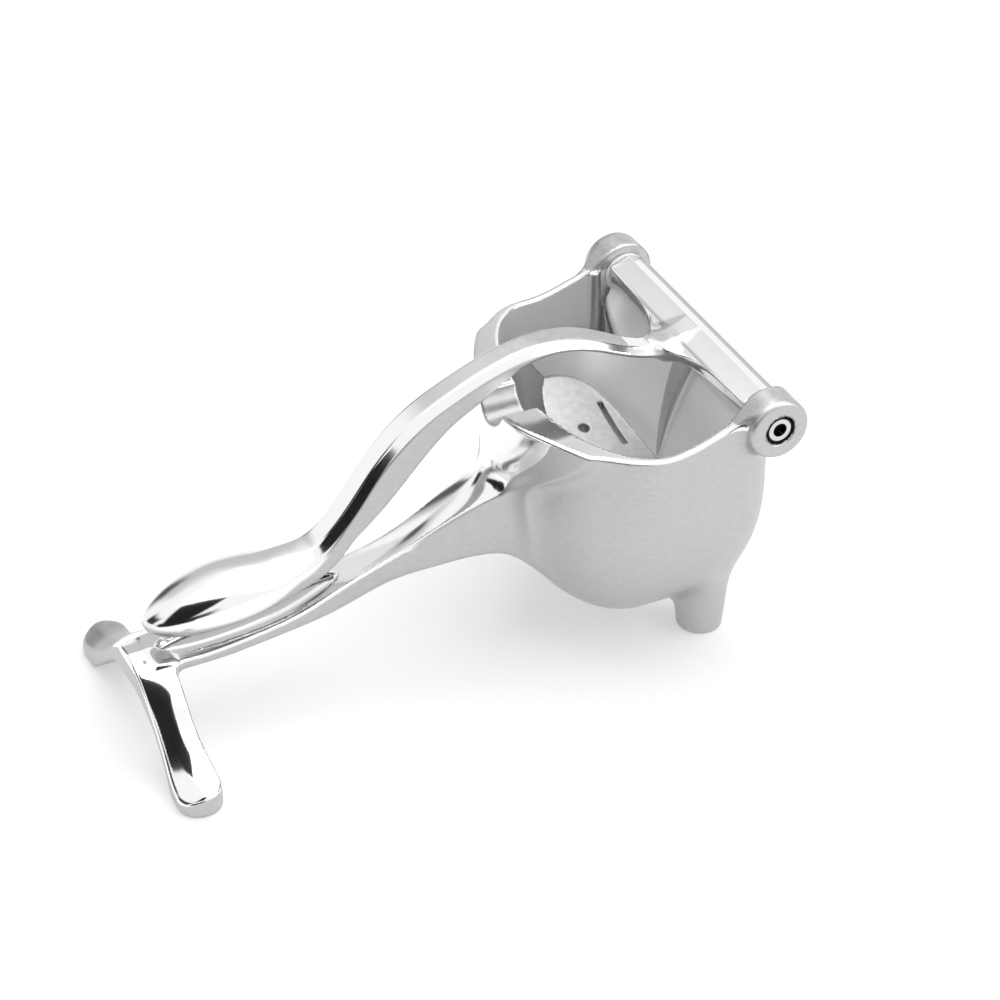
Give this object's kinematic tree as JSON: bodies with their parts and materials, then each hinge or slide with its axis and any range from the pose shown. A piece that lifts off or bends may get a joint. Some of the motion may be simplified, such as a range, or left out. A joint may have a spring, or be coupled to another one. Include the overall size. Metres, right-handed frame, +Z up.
{
  "type": "hinged lemon squeezer",
  "caption": "Cast hand press: a lever with a grip pad and dished press shoe swings on a socket-screw hinge over a footed fruit bowl with a lower handle and T-bar foot.",
  "frame": {"origin": "On the table, in the middle of the closed tool's bounding box, on its plane of symmetry.", "axes": "+X from the T-bar foot to the hinge, +Y along the hinge axis, +Z up."},
  "size_m": [0.1984, 0.11, 0.103],
  "materials": {
    "casting": "satin sides, polished edges",
    "lever_casting": "polished",
    "screw": "turned",
    "bush": "satin",
    "washer": "matte white"
  },
  "bodies": {
    "body": {"body_casting": "casting", "lug_bush_near": "bush", "lug_bush_far": "bush", "thrust_washer_near": "washer", "thrust_washer_far": "washer"},
    "lever": {"press_lever": "lever_casting", "hinge_screw_near": "screw", "hinge_screw_far": "screw"}
  },
  "joints": [
    {"name": "lever_hinge", "type": "hinge", "parent": "body", "child": "lever", "pos_m": [0.0897, 0, 0.0876], "axis": [0, 1, 0], "range_deg": [0, 115]}
  ]
}
